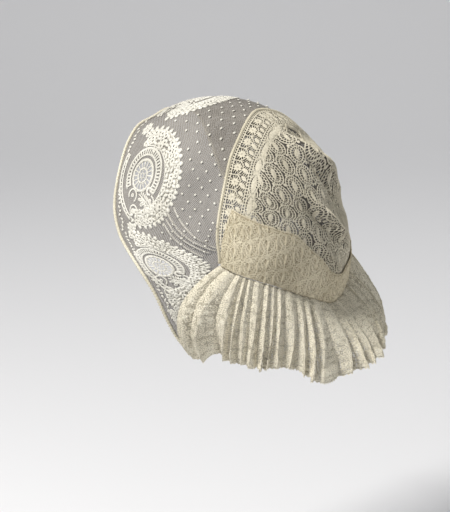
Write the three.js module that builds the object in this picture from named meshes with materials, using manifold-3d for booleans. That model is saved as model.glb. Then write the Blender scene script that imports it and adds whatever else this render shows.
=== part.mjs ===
// A lace cap as it sits on a head: a strip of fine patterned lace over the top and down both
// cheeks, a horseshoe crown of coarse lace set in behind it along a corded seam, the crown's lower
// edge turned up as a doubled band, and a pleated neck frill with a gathering cord under it.
// Millimetres, +Z up, the face looks along -Y and the wearer's left is +X. The origin is the
// inside of the cap where the top of the head touches it.
import * as THREE from 'three';
import { mergeVertices } from 'three/addons/utils/BufferGeometryUtils.js';
import Module from 'manifold-3d';

// Driving sizes
const cheekHalfWidth = 81;    // half the width of the front strip over the cheeks
const frontReach = 60;        // from the seat forward to the front edge
const frontDrop = 192;        // from the seat down to the lowest front corner
const seamHalfWidth = 70;     // half the width between the two ends of the crown seam
const seamReach = 55.5;       // from the seat back to the ends of the crown seam
const seamDrop = 110;         // from the seat down to the ends of the crown seam
const crownReach = 103;       // from the seat back to the fullest part of the crown
const crownDrop = 146;        // from the seat down to the gathered edge at the nape
const headSwell = 12;         // how far the front strip rounds out between its two edges
const napeSkew = 12;          // how much lower the gathered edge hangs right of the middle
const foldHeight = 6;         // height of the crown's deepest drape fold
const frillReach = 139;       // from the seat back to the frill's hem
const frillHalfWidth = 82;    // half the width of the frill's hem
const frillDrop = 202;        // from the seat down to the lowest point of the hem
const frillBelly = 6;         // how far the frill rounds out between gathering and hem
const pleatHeight = 5.5;      // how far a pleat stands out at the hem
const laceWall = 1;           // front strip, crown and band
const frillWall = 1.4;        // pleated lace, measured across the frill
const seamCordRadius = 1.3;
const edgeCordRadius = 1.2;   // rolled heading of the front edge
const gatherCordRadius = 0.9;
const clearance = 0.4;        // between neighbouring pieces
const meetingSine = 0.7;      // how squarely the lace meets its cords at the least

// The eyelet flowers of the front strip
const petalCount = 16;
const petalInner = 7;         // radius at which an eyelet petal starts
const petalOuter = 11;
const petalWidth = 1.9;

// The five flowers from the wearer's right to the left: along the front edge from its top middle,
// and deep, from the front edge back to the flower's centre
const flowerRows = [
  { along: -164, deep: 24 },
  { along: -83, deep: 36 },
  { along: 0, deep: 28 },
  { along: 83, deep: 36 },
  { along: 164, deep: 24 },
];

// The larger openings in the crown's border, measured along the seam and in from it
const borderGapCount = 18;    // on each side
const borderInset = 16;
const borderGapLength = 4.2;
const borderGapWidth = 1.9;

// Front edge and front strip, from the top middle (share 0) to the lower corner (share 1).
// seam is the share of the back edge that the row reaches, swell the share of headSwell.
// The first row mirrors the third, so that the edge runs level over the top middle.
const frontRows = [
  { share: -0.083, across: -0.247, along: -0.955, down: 0.091, seam: -0.1, swell: 0.84 },
  { share: 0, across: 0, along: -0.97, down: 0.072, seam: 0, swell: 0.8 },
  { share: 0.083, across: 0.247, along: -0.955, down: 0.091, seam: 0.1, swell: 0.84 },
  { share: 0.151, across: 0.444, along: -0.985, down: 0.116, seam: 0.22, swell: 0.88 },
  { share: 0.216, across: 0.58, along: -1.0, down: 0.177, seam: 0.36, swell: 0.95 },
  { share: 0.281, across: 0.673, along: -1.0, down: 0.248, seam: 0.48, swell: 1.0 },
  { share: 0.357, across: 0.765, along: -0.982, down: 0.339, seam: 0.6, swell: 1.0 },
  { share: 0.404, across: 0.815, along: -0.958, down: 0.394, seam: 0.66, swell: 0.96 },
  { share: 0.457, across: 0.864, along: -0.9, down: 0.456, seam: 0.73, swell: 0.86 },
  { share: 0.536, across: 0.938, along: -0.72, down: 0.535, seam: 0.83, swell: 0.7 },
  { share: 0.585, across: 0.969, along: -0.577, down: 0.576, seam: 0.88, swell: 0.6 },
  { share: 0.666, across: 1.0, along: -0.328, down: 0.643, seam: 0.95, swell: 0.46 },
  { share: 0.715, across: 1.0, along: -0.188, down: 0.688, seam: 0.985, swell: 0.4 },
  { share: 0.771, across: 0.975, along: -0.062, down: 0.747, seam: 1.04, swell: 0.34 },
  { share: 0.872, across: 0.901, along: 0.077, down: 0.865, seam: 1.25, swell: 0.2 },
  { share: 0.941, across: 0.821, along: 0.155, down: 0.943, seam: 1.46, swell: 0.1 },
  { share: 1, across: 0.741, along: 0.27, down: 1.0, seam: 1.68, swell: 0 },
];

// Back edge of the front strip: the crown seam from its top (share 0) to its end (share 1), then
// the free edge that runs on under the frill. Shares of the seam's three sizes. The first row
// mirrors the third.
const backRows = [
  { share: -0.124, across: -0.239, along: 0.732, down: 0.056 },
  { share: 0, across: 0, along: 0.658, down: 0.023 },
  { share: 0.124, across: 0.239, along: 0.732, down: 0.056 },
  { share: 0.285, across: 0.504, along: 0.82, down: 0.17 },
  { share: 0.404, across: 0.67, along: 0.856, down: 0.281 },
  { share: 0.53, across: 0.799, along: 0.901, down: 0.421 },
  { share: 0.637, across: 0.886, along: 0.926, down: 0.545 },
  { share: 0.732, across: 0.949, along: 0.937, down: 0.661 },
  { share: 0.858, across: 0.999, along: 0.955, down: 0.82 },
  { share: 1, across: 1.0, along: 1.0, down: 1.0 },
  { share: 1.1, across: 1.01, along: 0.94, down: 1.11 },
  { share: 1.22, across: 1.02, along: 0.81, down: 1.255 },
  { share: 1.45, across: 0.97, along: 0.6, down: 1.5 },
  { share: 1.68, across: 0.83, along: 0.48, down: 1.765 },
];

// The crown's middle line from the seam (share 0) over the back to the nape (share 1)
const spineRows = [
  { share: 0, along: 0.354, down: 0.017 },
  { share: 0.143, along: 0.583, down: 0.086 },
  { share: 0.306, along: 0.777, down: 0.219 },
  { share: 0.455, along: 0.903, down: 0.37 },
  { share: 0.583, along: 0.971, down: 0.514 },
  { share: 0.718, along: 1.0, down: 0.671 },
  { share: 0.846, along: 1.0, down: 0.822 },
  { share: 1, along: 0.961, down: 1.0 },
];

// Drop of the gathered edge beside the middle, as a share of napeSkew, from right (-1) to left (1)
const skewRows = [
  { share: -1, drop: 0 },
  { share: -0.67, drop: -0.2 },
  { share: -0.4, drop: 0.3 },
  { share: -0.15, drop: 0.55 },
  { share: 0.08, drop: -0.2 },
  { share: 0.35, drop: -0.9 },
  { share: 0.52, drop: -1.0 },
  { share: 1, drop: 0 },
];

// Drape folds of the crown: from and to in shares across (-1 right, 1 left) and down, the width
// down the crown, and the height as a share of foldHeight
const foldRows = [
  { acrossFrom: 0.3, downFrom: 0.2, acrossTo: -0.7, downTo: 0.5, width: 0.09, height: 1.0 },
  { acrossFrom: 0.1, downFrom: 0.12, acrossTo: -0.85, downTo: 0.32, width: 0.08, height: -0.6 },
  { acrossFrom: 0.15, downFrom: 0.5, acrossTo: -0.5, downTo: 0.86, width: 0.08, height: 0.7 },
  { acrossFrom: -0.1, downFrom: 0.5, acrossTo: -0.75, downTo: 0.72, width: 0.08, height: -0.5 },
];

// Upper edge of the turned-up band, as the crown's share down, from right (-1) to left (1), and
// the share of the crown's half width where the band ends, at its top and at its bottom
const bandRows = [
  { share: -1, top: 0.88 },
  { share: -0.5, top: 0.885 },
  { share: -0.11, top: 0.87 },
  { share: 0.03, top: 0.81 },
  { share: 0.2, top: 0.745 },
  { share: 0.3, top: 0.7 },
  { share: 0.42, top: 0.69 },
  { share: 1, top: 0.66 },
];
const bandTopEnd = 0.88;
const bandBottomEnd = 0.98;

// Hem of the frill from the wearer's left corner (share 0) to the right corner (share 1): shares
// of the frill's sizes, with belly of frillBelly and sweep, forward of the straight pleat, of
// pleatHeight. rise is a pleat's height at that place as a share of pleatHeight.
const hemRows = [
  { share: 0, across: 0.79, along: 0.135, down: 0.955, belly: 1.9, sweep: -3.0, rise: 0.3 },
  { share: 0.05, across: 0.775, along: 0.235, down: 0.966, belly: 1.9, sweep: -2.2, rise: 0.8 },
  { share: 0.1, across: 0.72, along: 0.318, down: 0.93, belly: 1.8, sweep: -1.0, rise: 1.0 },
  { share: 0.13, across: 0.72, along: 0.38, down: 0.95, belly: 1.5, sweep: -0.5, rise: 0.9 },
  { share: 0.19, across: 0.74, along: 0.52, down: 0.946, belly: 1.2, sweep: 0, rise: 0.75 },
  { share: 0.25, across: 0.73, along: 0.62, down: 0.95, belly: 1.0, sweep: 0, rise: 0.75 },
  { share: 0.3, across: 0.646, along: 0.69, down: 0.944, belly: 1.0, sweep: 0, rise: 0.75 },
  { share: 0.36, across: 0.52, along: 0.77, down: 0.946, belly: 1.0, sweep: 0, rise: 0.75 },
  { share: 0.4, across: 0.475, along: 0.83, down: 0.97, belly: 1.0, sweep: 0, rise: 0.9 },
  { share: 0.45, across: 0.38, along: 0.89, down: 1.0, belly: 1.0, sweep: 0, rise: 1.0 },
  { share: 0.52, across: 0.04, along: 0.955, down: 0.985, belly: 1.0, sweep: 0, rise: 1.0 },
  { share: 0.57, across: -0.16, along: 0.98, down: 0.973, belly: 1.0, sweep: 0, rise: 1.0 },
  { share: 0.62, across: -0.28, along: 1.0, down: 0.95, belly: 1.0, sweep: 0, rise: 1.0 },
  { share: 0.7, across: -0.5, along: 0.935, down: 0.936, belly: 1.2, sweep: 0, rise: 1.0 },
  { share: 0.8, across: -0.82, along: 0.79, down: 0.91, belly: 1.6, sweep: 0, rise: 1.0 },
  { share: 0.88, across: -0.975, along: 0.63, down: 0.916, belly: 1.6, sweep: 0, rise: 1.0 },
  { share: 0.93, across: -1.0, along: 0.45, down: 0.94, belly: 1.4, sweep: 0.5, rise: 1.0 },
  { share: 0.97, across: -0.9, along: 0.27, down: 0.955, belly: 1.8, sweep: 1.8, rise: 0.8 },
  { share: 1, across: -0.8, along: 0.14, down: 0.955, belly: 1.9, sweep: 3.0, rise: 0.3 },
];

// How many pleats lie between the frill's left end and each share of its gathered edge
const pleatRows = [
  { share: 0, pleats: 0 },
  { share: 0.1, pleats: 2 },
  { share: 0.36, pleats: 10 },
  { share: 0.62, pleats: 16 },
  { share: 0.9, pleats: 23 },
  { share: 1, pleats: 25 },
];

const wasm = await Module();
wasm.setup();

// One column of a table at a share, on a smooth curve through the rows
function column(rows, share, name) {
  let i = 0;
  while (i < rows.length - 2 && share > rows[i + 1].share) i++;
  const slope = (p, q) => (rows[q][name] - rows[p][name]) / (rows[q].share - rows[p].share);
  const width = rows[i + 1].share - rows[i].share;
  const x = Math.min(1, Math.max(0, (share - rows[i].share) / width));
  const middle = slope(i, i + 1);
  const before = i > 0 ? (slope(i - 1, i) + middle) / 2 : middle;
  const after = i < rows.length - 2 ? (middle + slope(i + 1, i + 2)) / 2 : middle;
  const start = rows[i][name], end = rows[i + 1][name];
  const bend = x * (1 - x);
  const smooth = x * x * (3 - 2 * x);
  return start + (end - start) * smooth + width * bend * (before * (1 - x) - after * x);
}

// The same, in straight runs between the rows
function straight(rows, share, name) {
  let i = 0;
  while (i < rows.length - 2 && share > rows[i + 1].share) i++;
  const x = (share - rows[i].share) / (rows[i + 1].share - rows[i].share);
  return THREE.MathUtils.lerp(rows[i][name], rows[i + 1][name], x);
}

const headCentre = new THREE.Vector3(0, 0, -crownDrop * 0.6);

// A point of the front edge. Side runs from -1 at the wearer's right corner to 1 at the left.
function frontEdge(side) {
  const share = Math.abs(side);
  return new THREE.Vector3(
    Math.sign(side) * cheekHalfWidth * column(frontRows, share, 'across'),
    frontReach * column(frontRows, share, 'along'),
    -frontDrop * column(frontRows, share, 'down'),
  );
}

// A point of the back edge of the front strip: the crown seam up to share 1, then its free edge
function backEdge(side, share) {
  return new THREE.Vector3(
    Math.sign(side) * seamHalfWidth * column(backRows, share, 'across'),
    seamReach * column(backRows, share, 'along'),
    -seamDrop * column(backRows, share, 'down'),
  );
}

const seamSetback = (seamCordRadius + clearance) / meetingSine;
const edgeSetback = (edgeCordRadius + clearance) / meetingSine;

// A point of the front strip. Depth runs from 0 at the front edge to 1 at the back edge.
function frontStrip(side, depth) {
  const share = Math.abs(side);
  const front = frontEdge(side);
  const back = backEdge(side, column(frontRows, share, 'seam'));
  const chord = back.clone().sub(front);
  const length = chord.length();
  chord.normalize();
  front.addScaledVector(chord, edgeSetback);
  back.addScaledVector(chord, -seamSetback);
  const place = front.clone().lerp(back, depth);
  const out = place.clone().sub(headCentre);
  out.addScaledVector(chord, -out.dot(chord)).normalize();
  const swell = headSwell * column(frontRows, share, 'swell') * 4 * depth * (1 - depth);
  return place.addScaledVector(out, swell * Math.min(1, length / seamReach));
}

function spine(down) {
  return new THREE.Vector3(
    0,
    crownReach * column(spineRows, down, 'along'),
    -crownDrop * column(spineRows, down, 'down'),
  );
}

// A drape fold's height at a place on the crown
function foldAt(row, across, down) {
  const run = (row.acrossFrom - across) / (row.acrossFrom - row.acrossTo);
  if (run < 0 || run > 1) return 0;
  const ridge = THREE.MathUtils.lerp(row.downFrom, row.downTo, run);
  const away = (down - ridge) / row.width;
  return row.height * foldHeight * Math.sin(Math.PI * run) * Math.exp(-away * away);
}

// A point of the crown, across from -1 at the right seam to 1 at the left, down from the seam's
// top to the nape
function crown(across, down) {
  const seamEnd = backEdge(1, down);
  const middle = spine(down);
  const root = new THREE.Vector3(0, seamEnd.y, seamEnd.z);
  const back = middle.sub(root);
  const halfLength = (Math.PI / 4) * (seamEnd.x + back.length());
  const reach = Math.max(0.2, 1 - (seamSetback + clearance) / halfLength);
  const turn = (Math.PI / 2) * across * reach;
  const full = 1 + 0.03 * Math.sin(2 * turn) ** 2;
  const place = root.addScaledVector(back, Math.cos(turn) * full);
  place.x = seamEnd.x * Math.sin(turn) * full;
  place.z -= napeSkew * down ** 3 * column(skewRows, across, 'drop');
  const folds = foldRows.reduce((sum, row) => sum + foldAt(row, across, down), 0);
  const out = place.clone().sub(headCentre).normalize();
  return place.addScaledVector(out, folds);
}

// Where the frill hangs from: the crown's lower edge, dropped by the gathering cord
const gatherDrop = 2 * gatherCordRadius + 3 * clearance + laceWall / 2;
function gatherLine(share, drop) {
  const place = crown(1 - 2 * share, 1);
  place.z -= drop;
  return place;
}

// A point of the frill, share from its left end to its right, depth from gathering to hem
function frill(share, depth) {
  const top = gatherLine(share, gatherDrop);
  const hem = new THREE.Vector3(
    frillHalfWidth * column(hemRows, share, 'across'),
    frillReach * column(hemRows, share, 'along'),
    -frillDrop * column(hemRows, share, 'down'),
  );
  const middle = top.clone().add(hem).multiplyScalar(0.5);
  const out = new THREE.Vector3(middle.x, middle.y - seamReach * 0.6, 0).normalize();
  const onward = new THREE.Vector3(-out.y, out.x, 0);
  middle.addScaledVector(out, frillBelly * column(hemRows, share, 'belly'));
  middle.addScaledVector(onward, pleatHeight * column(hemRows, share, 'sweep'));
  const place = top.clone().multiplyScalar((1 - depth) * (1 - 2 * depth));
  place.addScaledVector(middle, 4 * depth * (1 - depth));
  place.addScaledVector(hem, depth * (2 * depth - 1));
  const turn = Math.PI * straight(pleatRows, share, 'pleats');
  const rise = pleatHeight * column(hemRows, share, 'rise') * (0.3 + 0.7 * depth);
  return place.addScaledVector(out, rise * Math.sin(turn) ** 2);
}

// Unit normal of a surface, pointing away from the head
function normalOf(surface, u, v, step) {
  const along = surface(u + step, v).sub(surface(u - step, v));
  const down = surface(u, v + step).sub(surface(u, v - step));
  const normal = along.cross(down).normalize();
  return normal.dot(surface(u, v).sub(headCentre)) < 0 ? normal.negate() : normal;
}

const shareStep = 1e-3;

// The manifold library's solid of a closed geometry
function solidOf(geometry) {
  const bare = geometry.clone();
  bare.deleteAttribute('normal');
  bare.deleteAttribute('uv');
  const merged = mergeVertices(bare, 1e-3);
  return new wasm.Manifold(new wasm.Mesh({
    numProp: 3,
    vertProperties: new Float32Array(merged.attributes.position.array),
    triVerts: new Uint32Array(merged.index.array),
  }));
}

function geometryOf(solid) {
  const mesh = solid.getMesh();
  const geometry = new THREE.BufferGeometry();
  geometry.setAttribute('position', new THREE.BufferAttribute(mesh.vertProperties, 3));
  geometry.setIndex(new THREE.BufferAttribute(mesh.triVerts, 1));
  return geometry;
}

// A closed wall of even thickness over a surface, from lists of its two shares. The wall stands
// along thickWay(u, v).
function wallOver(surface, columns, rows, wall, thickWay) {
  const points = [];
  const count = rows.length;
  for (const side of [0.5, -0.5]) {
    for (const u of columns) {
      for (const v of rows) {
        const place = surface(u, v);
        place.addScaledVector(thickWay(u, v), side * wall);
        points.push(place.x, place.y, place.z);
      }
    }
  }
  const layer = columns.length * count;
  const at = (i, j, inner) => inner * layer + i * count + j;
  const faces = [];
  const quad = (a, b, c, d) => faces.push(a, b, c, a, c, d);
  for (let i = 0; i < columns.length - 1; i++) {
    for (let j = 0; j < count - 1; j++) {
      quad(at(i, j, 0), at(i + 1, j, 0), at(i + 1, j + 1, 0), at(i, j + 1, 0));
      quad(at(i, j, 1), at(i, j + 1, 1), at(i + 1, j + 1, 1), at(i + 1, j, 1));
    }
    const last = count - 1;
    quad(at(i, 0, 0), at(i, 0, 1), at(i + 1, 0, 1), at(i + 1, 0, 0));
    quad(at(i, last, 0), at(i + 1, last, 0), at(i + 1, last, 1), at(i, last, 1));
  }
  for (let j = 0; j < count - 1; j++) {
    const last = columns.length - 1;
    quad(at(0, j, 0), at(0, j + 1, 0), at(0, j + 1, 1), at(0, j, 1));
    quad(at(last, j, 0), at(last, j, 1), at(last, j + 1, 1), at(last, j + 1, 0));
  }
  const geometry = new THREE.BufferGeometry();
  geometry.setAttribute('position', new THREE.Float32BufferAttribute(points, 3));
  geometry.setIndex(faces);
  if (solidOf(geometry).volume() < 0) {
    for (let k = 0; k < faces.length; k += 3) [faces[k], faces[k + 1]] = [faces[k + 1], faces[k]];
    geometry.setIndex(faces);
  }
  return geometry;
}

const evenly = (count, from, to) =>
  Array.from({ length: count + 1 }, (_, i) => THREE.MathUtils.lerp(from, to, i / count));

// A prism through a wall: an outline in the surface's own plane, as long as the wall and more
function cutterAt(place, normal, heading, outline) {
  const shape = new THREE.Shape(outline.map(([x, y]) => new THREE.Vector2(x, y)));
  const depth = 6 * laceWall;
  const prism = new THREE.ExtrudeGeometry(shape, { depth, bevelEnabled: false });
  prism.translate(0, 0, -depth / 2);
  const flat = heading.clone().addScaledVector(normal, -heading.dot(normal)).normalize();
  const cross = normal.clone().cross(flat);
  prism.applyMatrix4(new THREE.Matrix4().makeBasis(flat, cross, normal).setPosition(place));
  return solidOf(prism);
}

function cutAll(geometry, cutters) {
  let solid = solidOf(geometry);
  for (const cutter of cutters) solid = solid.subtract(cutter);
  return geometryOf(solid);
}

// A smooth curve through a function's points
const curveThrough = (points) => new THREE.CatmullRomCurve3(points, false, 'centripetal');

function cordAlong(points, radius, sides, steps) {
  const round = new THREE.Shape(
    Array.from({ length: sides }, (_, i) => {
      const turn = (2 * Math.PI * i) / sides;
      return new THREE.Vector2(radius * Math.cos(turn), radius * Math.sin(turn));
    }),
  );
  const extrudePath = curveThrough(points);
  return new THREE.ExtrudeGeometry(round, { steps, extrudePath, bevelEnabled: false });
}

// Length of the front edge from its top middle to a corner, which places the medallions
const halfEdgeLength = curveThrough(evenly(60, 0, 1).map((share) => frontEdge(share))).getLength();

// Front strip, pierced by the petals of its eyelet flowers
function frontStripGeometry() {
  const outward = (u, v) => normalOf(frontStrip, u, v, shareStep);
  const blank = wallOver(frontStrip, evenly(44, -1, 1), evenly(7, 0, 1), laceWall, outward);
  const cutters = [];
  const petal = [
    [petalInner, 0],
    [petalOuter - petalWidth, -petalWidth / 2],
    [petalOuter, 0],
    [petalOuter - petalWidth, petalWidth / 2],
  ];
  for (const { along, deep } of flowerRows) {
    const side = along / halfEdgeLength;
    const row = curveThrough(evenly(8, 0, 1).map((depth) => frontStrip(side, depth)));
    const depth = (deep - edgeSetback) / row.getLength();
    const centre = frontStrip(side, depth);
    const normal = outward(side, depth);
    const heading = frontStrip(side, depth + shareStep).sub(centre);
    for (let p = 0; p < petalCount; p++) {
      const turned = heading.clone().applyAxisAngle(normal, (2 * Math.PI * (p + 0.5)) / petalCount);
      cutters.push(cutterAt(centre, normal, turned, petal));
    }
  }
  return cutAll(blank, cutters);
}

// Crown, pierced by the row of larger openings in its border
function crownGeometry() {
  const outward = (u, v) => normalOf(crown, u, v, shareStep);
  const rows = [0.02, 0.07, 0.15, 0.23, ...evenly(8, 0.31, 1)];
  const blank = wallOver(crown, evenly(28, -1, 1), rows, laceWall, outward);
  const gap = [
    [-borderGapLength / 2, 0],
    [0, -borderGapWidth / 2],
    [borderGapLength / 2, 0],
    [0, borderGapWidth / 2],
  ];
  const cutters = [];
  for (const side of [-1, 1]) {
    for (let k = 0; k < borderGapCount; k++) {
      const down = THREE.MathUtils.lerp(0.22, 0.97, (k + 0.5) / borderGapCount);
      const half = crown(1, down).distanceTo(crown(0, down));
      const across = side * (1 - borderInset / (half * 1.1));
      const centre = crown(across, down);
      const heading = crown(across, down + shareStep).sub(centre);
      cutters.push(cutterAt(centre, outward(across, down), heading, gap));
    }
  }
  return cutAll(blank, cutters);
}

// The band lies on the crown's lower part, one wall and a clearance out. Depth runs from 0 at
// its top edge to 1 at the gathered edge.
function bandGeometry() {
  const lift = laceWall + 2 * clearance;
  const onCrown = (side, depth) => {
    const across = side * THREE.MathUtils.lerp(bandTopEnd, bandBottomEnd, depth);
    return [across, THREE.MathUtils.lerp(column(bandRows, across, 'top'), 1, depth)];
  };
  const outward = (side, depth) => normalOf(crown, ...onCrown(side, depth), shareStep);
  const surface = (side, depth) =>
    crown(...onCrown(side, depth)).addScaledVector(outward(side, depth), lift);
  return wallOver(surface, evenly(30, -1, 1), evenly(4, 0, 1), laceWall, outward);
}

// Pleated frill, with its steps at the pleats' own turns
function frillGeometry() {
  const shares = [];
  const stepsInPleat = 5;
  for (let i = 0; i < pleatRows.length - 1; i++) {
    const [from, to] = [pleatRows[i], pleatRows[i + 1]];
    const steps = (to.pleats - from.pleats) * stepsInPleat;
    evenly(steps, from.share, to.share).forEach((share, k) => {
      if (k || !i) shares.push(share);
    });
  }
  const outward = (u, v) => {
    const place = frill(u, v);
    return new THREE.Vector3(place.x, place.y - seamReach * 0.6, 0).normalize();
  };
  return wallOver(frill, shares, [0, 0.3, 0.65, 1], frillWall, outward);
}

function piece(name, geometry, colour, roughness) {
  const bare = geometry.clone();
  bare.deleteAttribute('uv');
  const material = new THREE.MeshStandardMaterial({ color: colour, roughness, metalness: 0 });
  const mesh = new THREE.Mesh(bare, material);
  mesh.name = name;
  mesh.geometry.computeVertexNormals();
  return mesh;
}

const seamPoints = evenly(48, -1, 1).map((side) => backEdge(side, Math.abs(side)));
const edgePoints = evenly(56, -1, 1).map((side) => frontEdge(side));
const gatherCordDrop = laceWall / 2 + clearance + gatherCordRadius;
const gatherPoints = evenly(30, 0, 1).map((share) => gatherLine(share, gatherCordDrop));

const group = new THREE.Group();
group.add(piece('front_strip', frontStripGeometry(), 0xe8e2d0, 0.9));
group.add(piece('front_edge_heading', cordAlong(edgePoints, edgeCordRadius, 6, 56), 0xdcd3b2, 0.85));
group.add(piece('crown_seam_cord', cordAlong(seamPoints, seamCordRadius, 6, 48), 0xe2dac2, 0.85));
group.add(piece('crown', crownGeometry(), 0xcdc3a4, 0.92));
group.add(piece('turned_up_band', bandGeometry(), 0xc4b692, 0.92));
group.add(piece('gathering_cord', cordAlong(gatherPoints, gatherCordRadius, 6, 36), 0xbfb493, 0.9));
group.add(piece('neck_frill', frillGeometry(), 0xd2cab2, 0.93));

export default group;
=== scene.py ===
# A lace cap in the form it has when worn, seen from behind its left side. Metres, +Z up; the front
# looks along -Y, the wearer's left is +X, and the origin is on the inside of the cap's top.
import math
import random

import bmesh
import bpy
import numpy as np
from mathutils import Matrix, Vector
from mathutils.bvhtree import BVHTree


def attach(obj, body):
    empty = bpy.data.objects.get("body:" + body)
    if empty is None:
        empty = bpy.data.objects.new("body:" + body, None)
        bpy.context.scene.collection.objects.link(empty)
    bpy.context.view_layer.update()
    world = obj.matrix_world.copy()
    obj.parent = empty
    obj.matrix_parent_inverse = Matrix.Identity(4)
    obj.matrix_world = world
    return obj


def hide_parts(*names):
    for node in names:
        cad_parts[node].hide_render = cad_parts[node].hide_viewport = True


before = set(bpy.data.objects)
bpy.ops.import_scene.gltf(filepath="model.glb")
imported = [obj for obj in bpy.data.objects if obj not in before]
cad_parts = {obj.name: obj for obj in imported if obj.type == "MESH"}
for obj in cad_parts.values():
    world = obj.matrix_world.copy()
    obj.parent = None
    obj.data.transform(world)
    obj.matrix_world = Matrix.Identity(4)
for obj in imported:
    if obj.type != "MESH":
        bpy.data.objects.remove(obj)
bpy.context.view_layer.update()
scene = bpy.context.scene
mm = 0.001

# Camera, floor and light
# The cap is seen from behind its left side, a little from above, in front of a pale paper sweep
# with broad soft light from the upper left.
camera_turn = math.radians(130)
camera_rise = math.radians(11.5)
camera_distance = 1.9
camera_lens = 190
floor_height = -0.42
picture_right, picture_down = 1.6 * mm, 124 * mm
sweep_depth, sweep_front, sweep_flat, sweep_bend = 6.5, 2.2, 1.6, 1.2

sight = Vector((
    math.sin(camera_turn) * math.cos(camera_rise),
    -math.cos(camera_turn) * math.cos(camera_rise),
    math.sin(camera_rise),
))
lens = bpy.data.cameras.new("camera")
lens.sensor_fit = "HORIZONTAL"
lens.sensor_width = 36
lens.lens = camera_lens
camera = bpy.data.objects.new("camera", lens)
camera.location = sight * camera_distance
beside = Vector((math.cos(camera_turn), math.sin(camera_turn), 0))
picture_middle = beside * picture_right - sight.cross(beside) * picture_down
camera.rotation_euler = (picture_middle - camera.location).to_track_quat("-Z", "Y").to_euler()
scene.collection.objects.link(camera)
scene.camera = camera


def shader(name, colour, roughness):
    """A material with its Principled shader set to an even colour and roughness."""
    made = bpy.data.materials.new(name)
    made.use_nodes = True
    surface = made.node_tree.nodes["Principled BSDF"]
    surface.inputs["Base Color"].default_value = (*colour, 1)
    surface.inputs["Roughness"].default_value = roughness
    return made


def finish_mesh(name, bm, material, smooth=True):
    """A scene object from a bmesh, at the origin."""
    mesh = bpy.data.meshes.new(name)
    bm.to_mesh(mesh)
    bm.free()
    mesh.materials.append(material)
    if smooth:
        mesh.shade_smooth()
    made = bpy.data.objects.new(name, mesh)
    scene.collection.objects.link(made)
    return made


paper = shader("paper", (0.78, 0.78, 0.79), 0.9)
sweep = bmesh.new()
bmesh.ops.create_grid(sweep, x_segments=1, y_segments=40, size=1)
away = Vector((-sight.x, -sight.y, 0)).normalized()
across = away.cross(Vector((0, 0, 1)))
for vertex in sweep.verts:
    run = (vertex.co.y + 1) / 2 * sweep_depth - sweep_front
    past = run - sweep_flat
    bend = min(max(past, 0) / sweep_bend, math.pi / 2)
    level = sweep_bend * math.sin(bend) + min(run, sweep_flat)
    rise = sweep_bend * (1 - math.cos(bend)) + max(past - sweep_bend * math.pi / 2, 0)
    vertex.co = away * level + across * vertex.co.x * 4 + Vector((0, 0, floor_height + rise))
floor = finish_mesh("floor", sweep, paper)


def soft_light(name, place, size, power, warmth=(1, 1, 1), aim=(0, 0.02, -0.1)):
    """A square soft light."""
    lamp = bpy.data.lights.new(name, "AREA")
    lamp.shape = "SQUARE"
    lamp.size = size
    lamp.energy = power
    lamp.color = warmth
    made = bpy.data.objects.new(name, lamp)
    made.location = place
    made.rotation_euler = (Vector(aim) - made.location).to_track_quat("-Z", "Y").to_euler()
    scene.collection.objects.link(made)


soft_light("key", (1.05, -0.3, 1.25), 0.45, 42, (1, 0.985, 0.96))
soft_light("fill", (0.9, 1.7, 0.3), 1.4, 5)
soft_light("right_fill", (-1.5, 0.9, 0.7), 1.2, 11)
soft_light("sweep_light", (-0.9, -0.7, 1.6), 1.6, 8, aim=(-2.2, -1.8, 0.1))
world = bpy.data.worlds.new("studio")
scene.world = world
world.use_nodes = True
world.node_tree.nodes["Background"].inputs["Color"].default_value = (0.93, 0.95, 1, 1)
world.node_tree.nodes["Background"].inputs["Strength"].default_value = 0.16
scene.view_settings.view_transform = "Standard"

# Front strip
# A strip of fine hexagonal net lace over the top and down both sides, gathered at its back edge
# onto the crown. Its pattern is denser cloth stitch: five palmettes with an eyelet flower in each,
# daisies between them, and rows of small dots.
front_half_width = 81 * mm
front_reach = 60 * mm
front_drop = 192 * mm
seam_half_width = 70 * mm
seam_reach = 55.5 * mm
seam_drop = 110 * mm
strip_swell = 12 * mm
seam_cord_radius = 1.3 * mm
edge_cord_radius = 1.2 * mm
clearance = 0.4 * mm
whip_thread = 0.4 * mm
pattern_wall, pattern_lift = 0.5 * mm, 0.15 * mm
gathers_lift = 0.3 * mm
doubled_behind = 0.12 * mm
crown_drop = 146 * mm


def rows(names, *values):
    """A table with named columns."""
    return {name: np.array(column) for name, column in zip(names.split(), zip(*values))}


front_rows = rows(
    "share across along down seam swell",
    (-0.083, -0.247, -0.955, 0.091, -0.1, 0.84),
    (0, 0, -0.97, 0.072, 0, 0.8),
    (0.083, 0.247, -0.955, 0.091, 0.1, 0.84),
    (0.151, 0.444, -0.985, 0.116, 0.22, 0.88),
    (0.216, 0.58, -1.0, 0.177, 0.36, 0.95),
    (0.281, 0.673, -1.0, 0.248, 0.48, 1.0),
    (0.357, 0.765, -0.982, 0.339, 0.6, 1.0),
    (0.404, 0.815, -0.958, 0.394, 0.66, 0.96),
    (0.457, 0.864, -0.9, 0.456, 0.73, 0.86),
    (0.536, 0.938, -0.72, 0.535, 0.83, 0.7),
    (0.585, 0.969, -0.577, 0.576, 0.88, 0.6),
    (0.666, 1.0, -0.328, 0.643, 0.95, 0.46),
    (0.715, 1.0, -0.188, 0.688, 0.985, 0.4),
    (0.771, 0.975, -0.062, 0.747, 1.04, 0.34),
    (0.872, 0.901, 0.077, 0.865, 1.25, 0.2),
    (0.941, 0.821, 0.155, 0.943, 1.46, 0.1),
    (1, 0.741, 0.27, 1.0, 1.68, 0),
)
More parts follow.
